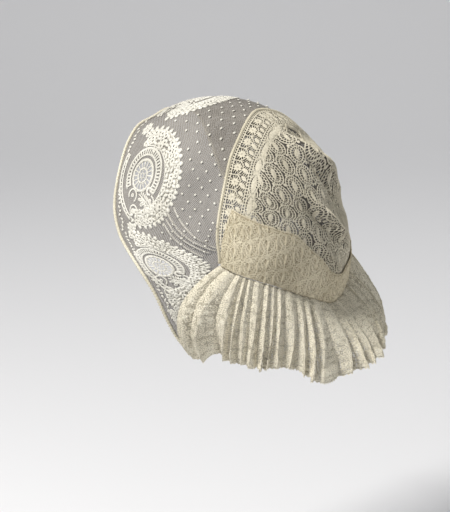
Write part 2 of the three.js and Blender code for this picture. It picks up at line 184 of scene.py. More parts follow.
back_rows = rows(
    "share across along down",
    (-0.124, -0.239, 0.732, 0.056),
    (0, 0, 0.658, 0.023),
    (0.124, 0.239, 0.732, 0.056),
    (0.285, 0.504, 0.82, 0.17),
    (0.404, 0.67, 0.856, 0.281),
    (0.53, 0.799, 0.901, 0.421),
    (0.637, 0.886, 0.926, 0.545),
    (0.732, 0.949, 0.937, 0.661),
    (0.858, 0.999, 0.955, 0.82),
    (1, 1.0, 1.0, 1.0),
    (1.1, 1.01, 0.94, 1.11),
    (1.22, 1.02, 0.81, 1.255),
    (1.45, 0.97, 0.6, 1.5),
    (1.68, 0.83, 0.48, 1.765),
)


def column(table, name, share):
    """One column of a table at a share, on a smooth curve through the rows."""
    x, y = table["share"], table[name]
    share = np.asarray(share, float)
    last = len(x) - 2
    i = np.clip(np.searchsorted(x, share) - 1, 0, last)
    width = x[i + 1] - x[i]
    part = np.clip((share - x[i]) / width, 0, 1)
    slope = np.diff(y) / np.diff(x)
    before = np.where(i > 0, (slope[np.maximum(i - 1, 0)] + slope[i]) / 2, slope[i])
    after = np.where(i < last, (slope[i] + slope[np.minimum(i + 1, last)]) / 2, slope[i])
    smooth = part * part * (3 - 2 * part)
    bend = width * part * (1 - part) * (before * (1 - part) - after * part)
    return y[i] + (y[i + 1] - y[i]) * smooth + bend


def points(x, y, z):
    return np.stack(np.broadcast_arrays(x, y, z), axis=-1)


def unit(vectors):
    return vectors / np.linalg.norm(vectors, axis=-1, keepdims=True)


def dot(a, b):
    return np.sum(a * b, axis=-1, keepdims=True)


cap_centre = np.array((0, 0, -0.6 * crown_drop))
seam_setback = 0.9 * mm
edge_setback = 0.9 * mm


def front_edge(side):
    share = np.abs(side)
    return points(
        np.sign(side) * front_half_width * column(front_rows, "across", share),
        front_reach * column(front_rows, "along", share),
        -front_drop * column(front_rows, "down", share),
    )


def back_edge(side, share):
    return points(
        np.sign(side) * seam_half_width * column(back_rows, "across", share),
        seam_reach * column(back_rows, "along", share),
        -seam_drop * column(back_rows, "down", share),
    )


def front_strip(side, depth):
    """A point of the strip: side from -1 to 1 along its front edge, depth 0 to 1 back from it."""
    side, depth = np.broadcast_arrays(np.asarray(side, float), np.asarray(depth, float))
    share = np.abs(side)
    front = front_edge(side)
    back = back_edge(side, column(front_rows, "seam", share))
    length = np.linalg.norm(back - front, axis=-1)
    chord = (back - front) / length[..., None]
    front = front + chord * edge_setback
    back = back - chord * seam_setback
    place = front + (back - front) * depth[..., None]
    out = place - cap_centre
    out = unit(out - chord * dot(out, chord))
    swell = strip_swell * column(front_rows, "swell", share) * 4 * depth * (1 - depth)
    return place + out * (swell * np.minimum(1, length / seam_reach))[..., None]


def normal_of(surface, u, v, step=1e-3):
    """Unit normal of a surface, outwards."""
    along = surface(u + step, v) - surface(u - step, v)
    down = surface(u, v + step) - surface(u, v - step)
    normal = unit(np.cross(along, down))
    outward = dot(normal, surface(u, v) - cap_centre)
    return np.where(outward < 0, -normal, normal)


sides = np.linspace(0, 1, 201)
edge_line = front_edge(sides)
half_edge = np.linalg.norm(np.diff(edge_line, axis=0), axis=1).sum()
row_points = front_strip(sides[:, None], np.linspace(0, 1, 25)[None, :])
row_lengths = np.linalg.norm(np.diff(row_points, axis=1), axis=2).sum(axis=1)

# Gathers that run over the strip to the lower end of the seam: from and to, along the front edge
# from its top middle and back from the edge, then the width and the height, in millimetres.
# They lie alike on both sides.
gathers = (
    (110, 66, 156, 82, 1.9, 3.6),
    (116, 63, 157, 76, 1.7, 3.0),
    (119, 59, 160, 68, 1.7, 2.4),
    (106, 73, 154, 86, 1.6, 2.0),
    (97, 101, 147, 89, 1.6, 1.6),
    (122, 84, 153, 84, 1.4, 1.6),
)


def ridge_height(x, y, ridge, scale=mm):
    """Height of a long soft ridge at places x, y."""
    x0, y0, x1, y1, width, height = (value * scale for value in ridge)
    run = ((x - x0) * (x1 - x0) + (y - y0) * (y1 - y0)) / ((x1 - x0) ** 2 + (y1 - y0) ** 2)
    run = np.clip(run, 0, 1)
    away_from = np.hypot(x - x0 - run * (x1 - x0), y - y0 - run * (y1 - y0))
    fade = np.sin(np.pi * np.clip(0.12 + 0.76 * run, 0, 1))
    return height * fade * np.exp(-((away_from / width) ** 2))


def on_strip(flat):
    """Places on the strip from flat ones: along the front edge, back from it, and raised."""
    side = flat[:, 0] / half_edge
    length = np.interp(np.abs(side), sides, row_lengths)
    depth = np.clip((flat[:, 1] - edge_setback) / length, 0, 1)
    raised = flat[:, 2] + sum(ridge_height(np.abs(flat[:, 0]), flat[:, 1], g) for g in gathers)
    return front_strip(side, depth) + normal_of(front_strip, side, depth) * raised[:, None]


def give_wall(piece, thickness, offset):
    wall = piece.modifiers.new("wall", "SOLIDIFY")
    wall.thickness, wall.offset = thickness, offset


def lay(piece, onto, wall=0.0, offset=0.0, lift=0.0):
    """Lays a piece that was drawn flat onto a surface, keeps its flat places as its UV map, and
    gives it a wall."""
    mesh = piece.data
    values = np.empty(len(mesh.vertices) * 3)
    mesh.vertices.foreach_get("co", values)
    flat = values.reshape(-1, 3)
    mesh.vertices.foreach_set("co", onto(flat + (0, 0, lift)).ravel())
    corners = np.empty(len(mesh.loops), np.int32)
    mesh.loops.foreach_get("vertex_index", corners)
    uv = mesh.uv_layers.new(name="flat")
    uv.data.foreach_set("uv", flat[corners][:, :2].astype(np.float32).ravel())
    mesh.update()
    if wall:
        give_wall(piece, wall, offset)
    return piece


def to_metres(bm):
    bmesh.ops.scale(bm, vec=(mm, mm, mm), verts=bm.verts)


def add_part(bm, part, flip=False, spot=Matrix()):
    """Adds a drawn part to a bmesh, mirrored sideways or moved, and frees it."""
    if flip:
        bmesh.ops.scale(part, vec=(-1, 1, 1), verts=part.verts)
        bmesh.ops.reverse_faces(part, faces=part.faces)
    bmesh.ops.transform(part, matrix=spot, verts=part.verts)
    stored = bpy.data.meshes.new("part")
    part.to_mesh(stored)
    part.free()
    bm.from_mesh(stored)
    bpy.data.meshes.remove(stored)


def flat_grid(bm, x, y):
    """A flat grid through given x and y places."""
    made = bmesh.ops.create_grid(bm, x_segments=len(x) - 1, y_segments=len(y) - 1, size=1)
    for vertex in made["verts"]:
        i = round((vertex.co.x + 1) / 2 * (len(x) - 1))
        j = round((vertex.co.y + 1) / 2 * (len(y) - 1))
        vertex.co = (x[i], y[j], 0)
    return made["verts"]


def ribbon(bm, path, width, height=0.0):
    """A flat strip of stitches along a path."""
    path = np.asarray(path, float)
    ahead = np.gradient(path, axis=0)
    beside = np.stack((-ahead[:, 1], ahead[:, 0]), axis=1)
    beside /= np.linalg.norm(beside, axis=1, keepdims=True)
    made = bmesh.ops.create_grid(bm, x_segments=len(path) - 1, y_segments=1, size=1)
    for vertex in made["verts"]:
        i = round((vertex.co.x + 1) / 2 * (len(path) - 1))
        x, y = path[i] + beside[i] * vertex.co.y * width / 2
        vertex.co = (x, y, height)


def arc(x, y, radius_x, radius_y, start, end, steps, turn=0.0):
    """Points on an ellipse between two angles in degrees."""
    angles = np.radians(np.linspace(start, end, steps + 1))
    px, py = radius_x * np.cos(angles), radius_y * np.sin(angles)
    c, s = math.cos(math.radians(turn)), math.sin(math.radians(turn))
    return np.stack((x + px * c - py * s, y + px * s + py * c), axis=1)


def spokes(bm, x, y, inner, outer, count, width, start=0.0, height=0.0):
    """Straight bars from one ellipse to another round the same middle."""
    for k in range(count):
        turn = math.tau * (k + start) / count
        c, s = math.cos(turn), math.sin(turn)
        bar = [(x + across * c, y + along * s) for across, along in (inner, outer)]
        ribbon(bm, bar, width, height)


def leaf(bm, x, y, length, width, turn, height=0.0, crown_height=0.3 * mm, corners=10):
    """A pointed oval of dense stitches, a little raised in its middle."""
    made = bmesh.ops.create_circle(bm, cap_ends=True, cap_tris=True, segments=corners, radius=1)
    c, s = math.cos(math.radians(turn)), math.sin(math.radians(turn))
    for vertex in made["verts"]:
        px, py = vertex.co.x, vertex.co.y
        middle = px * px + py * py < 0.1
        py *= 1 - 0.6 * max(px, 0) ** 2
        px, py = px * length / 2, py * width / 2
        vertex.co = (x + px * c - py * s, y + px * s + py * c, height + middle * crown_height)


def small_ring(bm, x, y, outer, inner, height=0.0, corners=8):
    """A ring of stitches round a pin hole."""
    radius = (outer + inner) / 2
    ribbon(bm, arc(x, y, radius, radius, 0, 360, corners), outer - inner, height)


def daisy(bm, x, y, radius, petals):
    """A round flower of petals about a small ring."""
    for k in range(petals):
        turn = 360 * k / petals
        c, s = math.cos(math.radians(turn)), math.sin(math.radians(turn))
        px, py = x + c * radius * 0.62, y + s * radius * 0.62
        leaf(bm, px, py, radius * 0.8, radius * 0.62, turn, corners=8)
    small_ring(bm, x, y, radius * 0.36, radius * 0.12)


# The five flowers: along the front edge from its top middle, and back from it
flower_places = ((-164, 24), (-83, 36), (0, 28), (83, 36), (164, 24))
petal_count = 16
flower_hole = 11.4


def border_ends(x):
    """Where a flower's broad border starts and ends, in degrees: less far round the middle one."""
    return (-14, 194) if x else (12, 168)


def palmette(bm, x, y, first, last):
    """An eyelet flower with a holed crescent round it, a broad scalloped border behind, and curled
    leaves below. x points along the edge and down the side, y back from the edge."""
    # eyelet flower: spokes between a worked middle and a scalloped ring
    ribbon(bm, arc(x, y, 5.3, 5.3, 0, 360, 30), 1.5)
    ribbon(bm, arc(x, y, 2.0, 2.0, 0, 360, 12), 0.8)
    spokes(bm, x, y, (2, 2), (5, 5), 6, 0.5)
    ribbon(bm, arc(x, y, 11.6, 11.6, 0, 360, 48), 2.2)
    for k in range(petal_count):
        turn = math.tau * k / petal_count
        spoke = [(x + r * math.cos(turn), y + r * math.sin(turn)) for r in (5, 8, 11.4)]
        ribbon(bm, spoke, 0.9 if k % 2 else 1.1)
        half = turn + math.pi / petal_count
        ribbon(bm, arc(x + 10.2 * math.cos(half), y + 10.2 * math.sin(half), 1.7, 1.7,
                       math.degrees(half) - 95, math.degrees(half) + 95, 6), 0.8, 0.1)
    # crescent with a row of pin holes, from the front edge round the flower to its curl
    for radius, width in ((15.4, 1.5), (20.2, 1.8)):
        ribbon(bm, arc(x, y, radius, radius, 46, 300, 50), width)
    for k in range(32):
        turn = math.radians(48 + 8 * k)
        bar = [(x + r * math.cos(turn), y + r * math.sin(turn)) for r in (15.4, 18, 20.2)]
        ribbon(bm, bar, 1.25)
    ribbon(bm, arc(x + 11.6, y + 11.2, 2.8, 2.8, 60, 380, 16), 1.9)
    # bright double line between the crescent and the front edge
    for inset, width in ((5.4, 1.6), (9.0, 1.4)):
        line = [(x + a, inset + 0.012 * (a + 2) ** 2) for a in np.linspace(-17, 34, 30)]
        ribbon(bm, line, width)
    for k in range(15):
        a = -16 + 3.4 * k
        base = 0.012 * (a + 2) ** 2
        ribbon(bm, [(x + a, 5.4 + base), (x + a + 0.6, 9 + base)], 1.0)
    # broad scalloped border: close small rings and leaves, knobs along its outer edge
    generator = random.Random(round(x) + 7)
    for ring, (radius_x, radius_y) in enumerate(((26.4, 28.4), (30.2, 32.6), (34.2, 37.0))):
        steps = 26 + 3 * ring
        for k in range(steps + 1):
            share = (k + 0.5 * (ring % 2) + 0.4 * generator.random()) / steps
            turn = math.radians(first + (last - first) * share)
            px = x + 2 - radius_x * math.cos(turn) + 0.7 * (generator.random() - 0.5)
            py = y - 1 + radius_y * math.sin(turn) + 0.7 * (generator.random() - 0.5)
            if generator.random() < 0.6:
                outer = 2.3 + 0.6 * generator.random()
                small_ring(bm, px, py, outer, 0.85, 0.2 * generator.random())
            else:
                leaf(bm, px, py, 5.2, 2.6, 360 * generator.random(), 0.15, 0.25, 8)
    for k in range(26):
        turn = math.radians(first + 2 + (last - first - 4) * (k + 0.3 * generator.random()) / 25)
        px, py = x + 2 - 38.0 * math.cos(turn), y - 1 + 40.8 * math.sin(turn)
        leaf(bm, px, py, 4.4, 3.7, math.degrees(math.atan2(py - y, px - x)), 0.0, 0.2, 8)
    ribbon(bm, arc(x + 2, y - 1, 36.6, 39.4, 180 - last, 180 - first, 60), 1.0)
    ribbon(bm, arc(x + 2, y - 1, 24.2, 26.0, 180 - last, 180 - first, 50), 0.9)
    # curled leaves and a fern sprig below the flower
    for cx, cy, r, start, end in (
        (15, -9, 5, 20, 290), (22, 2, 4.5, -40, 230), (19, 12, 4.2, -90, 160),
        (27, -8, 4.6, 60, 330), (-20, 9, 4.4, 90, 330), (29, 10, 3.6, 0, 270),
    ):
        if y + cy > 4:
            ribbon(bm, arc(x + cx, y + cy, r, r, start, end, 16), 1.3)
            small_ring(bm, x + cx, y + cy, 1.7, 0.6)
    stem = [(x + 14 + 1.3 * k, y - 1 + 2.3 * k - 0.09 * k * k) for k in range(12)]
    ribbon(bm, stem, 0.9)
    for k in range(1, 11):
        sx, sy = stem[k]
        for way in (-1, 1):
            turn = 40 + way * 55 + (way < 0) * 180
            leaf(bm, sx + way * 2.4, sy - way * 1.2, 4.4, 1.8, turn, corners=8)


strip_pattern = bmesh.new()
for flower_x, flower_y in flower_places:
    single = bmesh.new()
    palmette(single, abs(flower_x), flower_y, *border_ends(flower_x))
    past_edge = [v for v in single.verts if v.co.y < 3.4 or v.co.x > half_edge / mm - 1]
    bmesh.ops.delete(single, geom=past_edge, context="VERTS")
    add_part(strip_pattern, single, flower_x < 0)
for place in (-124.5, -46, 46, 124.5, -205, 205):
    daisy(strip_pattern, place, 20, 5.6, 8)
# leafy filling near the front edge and at the lower corners
filler = random.Random(5)
for k in range(150):
    along = -240 + 480 * (k + 0.5) / 150
    if min(abs(along - a) for a, _ in flower_places) > 9:
        back_from = 6 + 4 * filler.random()
        leaf(strip_pattern, along, back_from, 3.6, 2.0, 360 * filler.random(), corners=8)
for side_way in (-1, 1):
    for _ in range(46):
        along = side_way * (204 + 38 * filler.random())
        back_from = 8 + 40 * filler.random() ** 1.3
        if filler.random() < 0.5:
            small_ring(strip_pattern, along, back_from, 2.3, 0.7)
        else:
            leaf(strip_pattern, along, back_from, 6, 2.6, 360 * filler.random(), corners=8)
# dots in staggered rows on the plain net
for i in range(-13, 14):
    for j in range(12):
        along = 13.2 * i + 6.6 * (j % 2) + 2 + filler.random() - 0.5
        back_from = 47.4 + 5.5 * j + filler.random() - 0.5
        if abs(along) > 158:
            continue
        inside = any(
            math.hypot((along - a) / 42, (back_from - b) / 45) < 1 for a, b in flower_places
        )
        row_end = np.interp(abs(along) / (half_edge / mm), sides, row_lengths) / mm
        if not inside and back_from < row_end - 1:
            leaf(strip_pattern, along, back_from, 2.1, 1.9, 0, 0.1, 0.4, 6)
to_metres(strip_pattern)


def node(tree, kind, inputs=(), **settings):
    """A shader node with its settings, and with inputs set or linked by name or number. The nodes
    stand in a row, left of the tree's output."""
    made = tree.nodes.new(kind)
    made.location = (220 * (len(tree.nodes) - 14), 0)
    for name, value in settings.items():
        setattr(made, name, value)
    for name, value in dict(inputs).items():
        if isinstance(value, bpy.types.NodeSocket):
            tree.links.new(value, made.inputs[name])
        else:
            made.inputs[name].default_value = value
    return made


def math_node(tree, operation, *values):
    return node(tree, "ShaderNodeMath", enumerate(values), operation=operation).outputs[0]


def group_with(name, inputs, outputs):
    """An empty shader group. Its inputs are numbers, or vectors where no value is given."""
    tree = bpy.data.node_groups.new(name, "ShaderNodeTree")
    for label, value in inputs.items():
        kind = "NodeSocketVector" if value is None else "NodeSocketFloat"
        made = tree.interface.new_socket(label, in_out="INPUT", socket_type=kind)
        if value is not None:
            made.default_value = value
    for label in outputs:
        tree.interface.new_socket(label, in_out="OUTPUT", socket_type="NodeSocketFloat")
    end = node(tree, "NodeGroupOutput")
    end.location.x = 220
    return tree, node(tree, "NodeGroupInput").outputs, end.inputs


def make_net_group():
    """Crossed threads: 1 on a thread and 0 in a hole, from flat places."""
    tree, start, end = group_with(
        "net", {"Flat": None, "Pitch": 1.6 * mm, "Thread": 0.4}, ("Thread",))
    x, y, _ = node(tree, "ShaderNodeSeparateXYZ", {0: start["Flat"]}).outputs
    on_thread = []
    for way in ("ADD", "SUBTRACT"):
        diagonal = math_node(tree, way, x, y)
        part = math_node(tree, "FRACT", math_node(tree, "DIVIDE", diagonal, start["Pitch"]))
        on_thread.append(math_node(tree, "LESS_THAN", part, start["Thread"]))
    tree.links.new(math_node(tree, "MAXIMUM", *on_thread), end[0])
    return tree


def make_thread_group():
    """Uneven tone and rough surface of worked thread: a mask from 0 to 1 and a bump height."""
    tree, start, end = group_with(
        "worked_thread", {"Place": None, "Scale": 900, "Wear": 30}, ("Mask", "Height"))
    fine, broad = [
        node(tree, "ShaderNodeTexNoise",
             {"Vector": start["Place"], "Scale": start[size], "Detail": 3}).outputs["Fac"]
        for size in ("Scale", "Wear")
    ]
    spread = math_node(tree, "MULTIPLY_ADD", math_node(tree, "ADD", fine, broad), 2.2, -1.7)
    spread.node.use_clamp = True
    tree.links.new(spread, end["Mask"])
    tree.links.new(fine, end["Height"])
    return tree


def make_rosette_group():
    """Small close-set rounds and rings of cloth stitch: 1 on them, 0 between, from flat places."""
    tree, start, end = group_with("rosettes", {"Flat": None, "Size": 4.6 * mm}, ("Mask",))
    masks = []
    for share, inner, ring in ((1.0, 0.17, 0.4), (0.42, 0.2, None)):
        size = math_node(tree, "MULTIPLY", start["Size"], share)
        per_metre = math_node(tree, "DIVIDE", 1.0, size)
        cells = node(tree, "ShaderNodeTexVoronoi",
                     {"Vector": start["Flat"], "Scale": per_metre, "Randomness": 0.7},
                     voronoi_dimensions="2D")
        distance = cells.outputs["Distance"]
        masks.append(math_node(tree, "LESS_THAN", distance, inner))
        if ring:
            masks.append(math_node(tree, "COMPARE", distance, ring, 0.075))
    joined = masks[0]
    for mask in masks[1:]:
        joined = math_node(tree, "MAXIMUM", joined, mask)
    tree.links.new(joined, end[0])
    return tree


net_group = make_net_group()
thread_group = make_thread_group()
rosette_group = make_rosette_group()


def lace_material(name, light, dark, scale=900, wear=30, bump=0.35, pitch=None, thread=0.4,
                  rosettes=None):
    """Worked cotton: two tones mixed by the thread group, net holes where pitch is given, and
    closer, paler rounds over the net where the colour of rosettes is given."""
    made = shader(name, light, 0.85)
    tree = made.node_tree
    surface = tree.nodes["Principled BSDF"].inputs
    surface["Specular IOR Level"].default_value = 0.25
    place = node(tree, "ShaderNodeTexCoord").outputs["Object"]
    worked = node(tree, "ShaderNodeGroup", {"Place": place, "Scale": scale, "Wear": wear},
                  node_tree=thread_group).outputs
    tone = node(tree, "ShaderNodeMix",
                {"A": (*dark, 1), "B": (*light, 1), "Factor": worked["Mask"]}, data_type="RGBA")
    colour = tone.outputs["Result"]
    rough = node(tree, "ShaderNodeBump",
                 {"Strength": bump, "Distance": 0.4 * mm, "Height": worked["Height"]})
    tree.links.new(rough.outputs["Normal"], surface["Normal"])
    if pitch:
        flat = node(tree, "ShaderNodeUVMap", uv_map="flat").outputs[0]
        alpha = node(tree, "ShaderNodeGroup", {"Flat": flat, "Pitch": pitch, "Thread": thread},
                     node_tree=net_group).outputs["Thread"]
        if rosettes:
            rounds = node(tree, "ShaderNodeGroup", {"Flat": flat}, node_tree=rosette_group)
            rounds = rounds.outputs["Mask"]
            alpha = math_node(tree, "MAXIMUM", alpha, rounds)
            paler = node(tree, "ShaderNodeMix",
                         {"A": colour, "B": (*rosettes, 1), "Factor": rounds}, data_type="RGBA")
            colour = paler.outputs["Result"]
        tree.links.new(alpha, surface["Alpha"])
    tree.links.new(colour, surface["Base Color"])
    return made


# The net's threads are coloured dark grey, much darker than the pattern's cotton: painted shade of
# the cap's dark inside seen through the net.
net_cotton_painted_shade = lace_material("net_cotton_painted_shade", (0.27, 0.25, 0.222), (0.185, 0.17, 0.15), pitch=1.8 * mm,
                           thread=0.58)
white_cotton = lace_material("white_cotton", (0.78, 0.76, 0.69), (0.56, 0.54, 0.47))
doubled_cotton = lace_material("doubled_cotton", (0.6, 0.57, 0.5), (0.42, 0.4, 0.35),
                               pitch=1.7 * mm, thread=0.7)

strip_net = bmesh.new()
flat_grid(strip_net, np.linspace(-half_edge, half_edge, 300), np.linspace(0, 1, 56))
for vertex in strip_net.verts:
    length = np.interp(abs(vertex.co.x) / half_edge, sides, row_lengths)
    vertex.co.y = edge_setback + vertex.co.y * float(length)
eyelets = []
for face in strip_net.faces:
    middle = face.calc_center_median() / mm
    if any(math.hypot(middle.x - a, middle.y - b) < flower_hole for a, b in flower_places):
        eyelets.append(face)
bmesh.ops.delete(strip_net, geom=eyelets, context="FACES")
front_net = lay(finish_mesh("front_strip_net", strip_net, net_cotton_painted_shade), on_strip)
# the net lies doubled along the gathers
doubled = bmesh.new()
for x0, y0, x1, y1, width, _ in gathers[:4]:
    for way in (-1, 1):
        ribbon(doubled, [(way * (x0 + (x1 - x0) * t) * mm, (y0 + (y1 - y0) * t) * mm)
                         for t in np.linspace(0, 1, 24)], width * mm)
# and behind each flower's broad border
for x, y in flower_places:
    first, last = border_ends(x)
    if x < 0:
        path = arc(x - 2, y - 1, 31, 33.5, first, last, 60)
    else:
        path = arc(x + 2, y - 1, 31, 33.5, 180 - last, 180 - first, 60)
    ribbon(doubled, path * mm, 12 * mm, -doubled_behind)
bmesh.ops.recalc_face_normals(doubled, faces=doubled.faces)
front_gathers = finish_mesh("front_strip_gathers", doubled, doubled_cotton)
lay(front_gathers, on_strip, lift=gathers_lift)
front_pattern = finish_mesh("front_strip_pattern", strip_pattern, white_cotton)
lay(front_pattern, on_strip, pattern_wall, 1, pattern_lift)

for made in (front_net, front_gathers, front_pattern):
    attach(made, "root")
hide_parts("front_strip")

# Heading of the front edge
# The strip's front edge is rolled over and whipped into a firm, yellower heading, with a comb of
# small picots along its outer side.
heading_cotton = lace_material("heading_cotton", (0.76, 0.72, 0.59), (0.57, 0.525, 0.4))
picot_pitch = 2.4 * mm
picot_length = 1.9 * mm
heading_turns = 190


def tube(bm, path, radius, corners=10):
    """A round cord along a path, closed at its ends, swept from a circle."""
    path = np.asarray(path, float)
    ahead = unit(np.gradient(path, axis=0))
    upright = np.array((0, 0, 1.0))
    ring = bmesh.ops.create_circle(bm, segments=corners, radius=radius, cap_ends=True)["verts"]
    frames = []
    for way in ahead:
        beside = unit(np.cross(upright, way)) if abs(way[2]) < 0.98 else np.array((1.0, 0, 0))
        frames.append(Matrix((beside, np.cross(way, beside), way)).transposed())
    for vertex in ring:
        vertex.co = frames[0] @ vertex.co + Vector(path[0])
    face = next(f for f in bm.faces if all(v in ring for v in f.verts))
    for i in range(1, len(path)):
        made = bmesh.ops.extrude_discrete_faces(bm, faces=[face])
        face = made["faces"][0]
        swing = frames[i] @ frames[i - 1].inverted()
        for vertex in face.verts:
            vertex.co = swing @ (vertex.co - Vector(path[i - 1])) + Vector(path[i])


def tube_object(name, path, radius, material, corners=10):
    bm = bmesh.new()
    tube(bm, path, radius, corners)
    bmesh.ops.remove_doubles(bm, verts=bm.verts, dist=1e-6)
    bmesh.ops.recalc_face_normals(bm, faces=bm.faces)
    return finish_mesh(name, bm, material)


heading_line = front_edge(np.linspace(-1, 1, 241))
heading = tube_object("front_edge_heading_roll", heading_line, edge_cord_radius, heading_cotton)


def whipped(name, line, radius, thread, turns, material):
    """Whipping round a cord that follows a line."""
    steps = np.linspace(0, len(line) - 1, 5 * turns + 1)
    core = np.stack([np.interp(steps, np.arange(len(line)), line[:, k]) for k in range(3)], axis=1)
    ahead = unit(np.gradient(core, axis=0))
    out = unit(core - cap_centre)
    out = unit(out - ahead * dot(out, ahead))
    turning = np.linspace(0, math.tau * turns, len(steps))[:, None]
    path = core + radius * (np.cos(turning) * out + np.sin(turning) * np.cross(ahead, out))
    return tube_object(name, path, thread, material, 4)


heading_whip = whipped("front_edge_heading_whipping", heading_line, edge_cord_radius, whip_thread,
                       heading_turns, heading_cotton)


def picot_comb(name, edge, outward, count, length, material, wall):
    """A comb of pointed picots: edge(share) gives its line and outward(share) its way."""
    bm = bmesh.new()
    verts = flat_grid(bm, np.linspace(0, 1, 2 * count + 1), (0, 1))
    shares = np.array([v.co.x for v in verts])
    line, way = edge(shares), outward(shares)
    for vertex, place, out, share in zip(verts, line, way, shares):
        tooth = round(share * 2 * count) % 2
        reach = vertex.co.y * length * (1 if tooth else 0.12)
        vertex.co = Vector(place + out * reach)
    made = finish_mesh(name, bm, material, smooth=False)
    give_wall(made, wall, 0)
    return made


def edge_outward(share):
    side = 2 * share - 1
    return unit(front_strip(side, 0.0) - front_strip(side, 0.06))


edge_picots = picot_comb(
    "front_edge_picots", lambda share: front_edge(2 * share - 1) + edge_outward(share) * 0.8 * mm,
    edge_outward, round(2 * half_edge / picot_pitch), picot_length, heading_cotton, 0.4 * mm)
for made in (heading, heading_whip, edge_picots):
    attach(made, "root")
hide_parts("front_edge_heading")

# Crown seam cord
# The strip's gathers and the crown's edge are whipped together over a firm cotton cord, which
# stands up as an upside-down U round the crown.
seam_cotton = lace_material("seam_cotton", (0.66, 0.61, 0.48), (0.46, 0.42, 0.31), 1300)
seam_turns = 150


def seam_line(side):
    return back_edge(side, np.abs(side))


seam_path = seam_line(np.linspace(-1, 1, 161))
seam_cord = tube_object("crown_seam_whipped_cord", seam_path, seam_cord_radius, seam_cotton)
whipping = whipped("crown_seam_whipping", seam_path, seam_cord_radius, whip_thread, seam_turns,
                   seam_cotton)
for made in (seam_cord, whipping):
    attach(made, "root")
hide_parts("crown_seam_cord")

# Crown
# A horseshoe of coarser, ecru lace: a border of round flowers, leaning leaves and long teardrops
# between rows of square holes follows the seam, and inside it leaves stand in staggered columns,
# each in a ring of holes. It is one width of lace, set in loosely, so it lies in soft folds.
crown_reach = 103 * mm
nape_skew = 12 * mm
fold_height = 6 * mm
crown_wall = 0.5 * mm
ground_behind = 0.8 * mm
spine_rows = rows(
    "share along down",
    (0, 0.354, 0.017),
    (0.143, 0.583, 0.086),
    (0.306, 0.777, 0.219),
    (0.455, 0.903, 0.37),
    (0.583, 0.971, 0.514),
    (0.718, 1.0, 0.671),
    (0.846, 1.0, 0.822),
    (1, 0.961, 1.0),
)
skew_rows = rows(
    "share drop",
    (-1, 0), (-0.67, -0.2), (-0.4, 0.3), (-0.15, 0.55), (0.08, -0.2), (0.35, -0.9), (0.52, -1.0),
    (1, 0),
)
# Folds: across and down where each starts and ends, its width down the crown and its height
crown_folds = (
    (0.3, 0.2, -0.7, 0.5, 0.09, 1.0),
    (0.1, 0.12, -0.85, 0.32, 0.08, -0.6),
    (0.15, 0.5, -0.5, 0.86, 0.08, 0.7),
    (-0.1, 0.5, -0.75, 0.72, 0.08, -0.5),
    (0.3, 0.45, -0.4, 0.76, 0.035, 0.5),
    (0.3, 0.5, -0.4, 0.82, 0.035, -0.45),
    (0.32, 0.6, -0.3, 0.9, 0.035, 0.45),
    (0.15, 0.2, -0.5, 0.7, 0.04, -0.45),
    (0.15, 0.14, -0.6, 0.62, 0.04, 0.4),
)


def fold_at(fold, across, down):
    start_across, start_down, end_across, end_down, width, height = fold
    run = (start_across - across) / (start_across - end_across)
    inside = (run > 0) & (run < 1)
    ridge = start_down + (end_down - start_down) * run
    shape = np.sin(np.pi * np.clip(run, 0, 1)) * np.exp(-(((down - ridge) / (0.7 * width)) ** 2))
    return np.where(inside, 1.3 * height * fold_height * shape, 0)


def crown(across, down):
    """A point of the crown: across from -1 to 1 between the seam's sides, down from 0 to 1."""
    across, down = np.broadcast_arrays(np.asarray(across, float), np.asarray(down, float))
    seam_end = back_edge(1.0, down)
    middle_y = crown_reach * column(spine_rows, "along", down)
    middle_z = -crown_drop * column(spine_rows, "down", down)
    back_y, back_z = middle_y - seam_end[..., 1], middle_z - seam_end[..., 2]
    half_length = math.pi / 4 * (seam_end[..., 0] + np.hypot(back_y, back_z))
    reach = np.maximum(0.2, 1 - seam_setback / half_length)
    turn = math.pi / 2 * across * reach
    full = 1 + 0.03 * np.sin(2 * turn) ** 2
    place = points(
        seam_end[..., 0] * np.sin(turn) * full,
        seam_end[..., 1] + back_y * np.cos(turn) * full,
        seam_end[..., 2] + back_z * np.cos(turn) * full
        - nape_skew * down**3 * column(skew_rows, "drop", across),
    )
    lifted = sum(fold_at(fold, across, down) for fold in crown_folds)
    return place + unit(place - cap_centre) * np.asarray(lifted)[..., None]


downs = np.linspace(0.012, 1, 121)
spine_line = crown(np.zeros(121), downs)
spine_run = np.concatenate(([0], np.cumsum(np.linalg.norm(np.diff(spine_line, axis=0), axis=1))))
rib_points = crown(np.linspace(0, 1, 25)[None, :], downs[:, None])
rib_lengths = np.linalg.norm(np.diff(rib_points, axis=1), axis=2).sum(axis=1)
seam_curve = seam_line(np.linspace(-1, 1, 241))


def crown_shares(flat):
    """The crown's shares from flat places: across along a rib, and down along its middle line."""
    down = np.interp(flat[:, 1], spine_run, downs)
    half = np.interp(down, downs, rib_lengths)
    return flat[:, 0] / half, down


def on_crown(flat):
    across, down = crown_shares(flat)
    across = np.clip(across, -1, 1)
    return crown(across, down) + normal_of(crown, across, down) * flat[:, 2][:, None]


def from_seam(places):
    """How far places are from the seam."""
    best = np.full(len(places), 1.0)
    for spot in seam_curve:
        best = np.minimum(best, np.linalg.norm(places - spot, axis=1))
    return best


# The flat drawings are in millimetres. One leaf in its ring of holes takes a cell.
cell_width, cell_height = 14.0, 18.0


